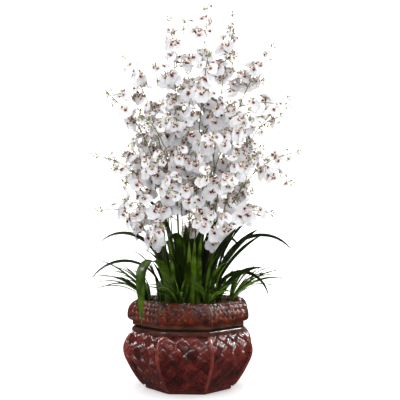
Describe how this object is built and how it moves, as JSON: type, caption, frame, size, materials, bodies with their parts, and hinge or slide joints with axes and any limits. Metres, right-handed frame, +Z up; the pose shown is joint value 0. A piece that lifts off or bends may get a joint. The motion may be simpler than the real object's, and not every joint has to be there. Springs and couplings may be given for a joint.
{
  "type": "potted orchid",
  "caption": "White dancing-lady orchid with branching flower spikes, strap leaves and grass tufts, growing in moss and bark in an octagonal bellied wicker basket.",
  "frame": {"origin": "centre of the basket's underside, on the surface it stands on", "axes": "+Z up, -Y towards the front panel of the basket, +X to the right seen from the front"},
  "size_m": [0.4551, 0.4133, 0.8351],
  "materials": {
    "wicker": "satin",
    "cane": "satin",
    "liner_plastic": "matte",
    "bark": "matte",
    "moss": "matte",
    "pseudobulb": "satin",
    "leaf": "satin",
    "grass": "satin",
    "flower": "matte"
  },
  "bodies": {
    "root": {"basket_wall": "wicker", "basket_rim": "wicker", "rim_hoop_upper": "cane", "rim_hoop_lower": "cane", "foot_hoop": "cane", "corner_rib_1": "cane", "corner_rib_2": "cane", "corner_rib_3": "cane", "corner_rib_4": "cane", "corner_rib_5": "cane", "corner_rib_6": "cane", "corner_rib_7": "cane", "corner_rib_8": "cane", "plastic_liner": "liner_plastic", "potting_bark": "bark", "moss_cover": "moss", "pseudobulb_1": "pseudobulb", "pseudobulb_2": "pseudobulb", "strap_leaf_01": "leaf", "strap_leaf_02": "leaf", "strap_leaf_03": "leaf", "strap_leaf_04": "leaf", "strap_leaf_05": "leaf", "strap_leaf_06": "leaf", "strap_leaf_07": "leaf", "strap_leaf_08": "leaf", "strap_leaf_09": "leaf", "strap_leaf_10": "leaf", "strap_leaf_11": "leaf", "strap_leaf_12": "leaf", "strap_leaf_13": "leaf", "strap_leaf_14": "leaf", "strap_leaf_15": "leaf", "strap_leaf_16": "leaf", "strap_leaf_17": "leaf", "strap_leaf_18": "leaf", "strap_leaf_19": "leaf", "strap_leaf_20": "leaf", "grass_tuft_1": "grass", "grass_tuft_2": "grass", "grass_tuft_3": "grass", "grass_tuft_4": "grass", "flower_spike_01": "flower", "flower_spike_02": "flower", "flower_spike_03": "flower", "flower_spike_04": "flower", "flower_spike_05": "flower", "flower_spike_06": "flower", "flower_spike_07": "flower", "flower_spike_08": "flower", "flower_spike_09": "flower", "flower_spike_10": "flower", "flower_spike_11": "flower", "flower_spike_12": "flower", "flower_spike_13": "flower", "flower_spike_14": "flower", "flower_spike_15": "flower", "flower_spike_16": "flower", "flower_spike_17": "flower", "flower_spike_18": "flower"}
  },
  "joints": []
}
